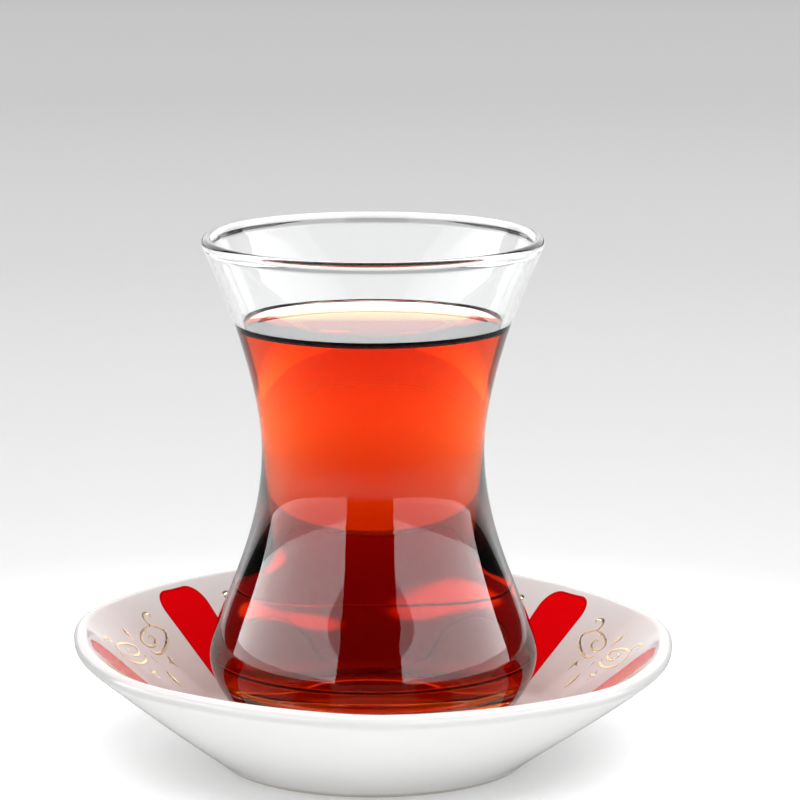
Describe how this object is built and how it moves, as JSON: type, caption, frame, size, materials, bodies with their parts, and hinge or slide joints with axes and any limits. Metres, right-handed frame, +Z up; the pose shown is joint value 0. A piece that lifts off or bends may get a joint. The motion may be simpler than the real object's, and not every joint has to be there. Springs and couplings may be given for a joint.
{
  "type": "turkish tea glass with tea and saucer",
  "caption": "Waisted clear tea glass filled with black tea, standing on a small lobed porcelain saucer with red petals and gold scrolls.",
  "frame": {"origin": "on the table, on the axis that the glass and the saucer share", "axes": "+Z up along the axis of the glass, +X to the right as seen in the picture, -Y towards the viewer"},
  "size_m": [0.1036, 0.1036, 0.0909],
  "materials": {
    "porcelain": "glossy white glaze with red petals and gold scrolls inside",
    "clear_glass": "clear polished glass with a rounded fire-polished rim",
    "tea": "clear red-brown black tea"
  },
  "bodies": {
    "root": {"saucer": "porcelain", "tea_glass": "clear_glass", "tea": "tea"}
  },
  "joints": []
}
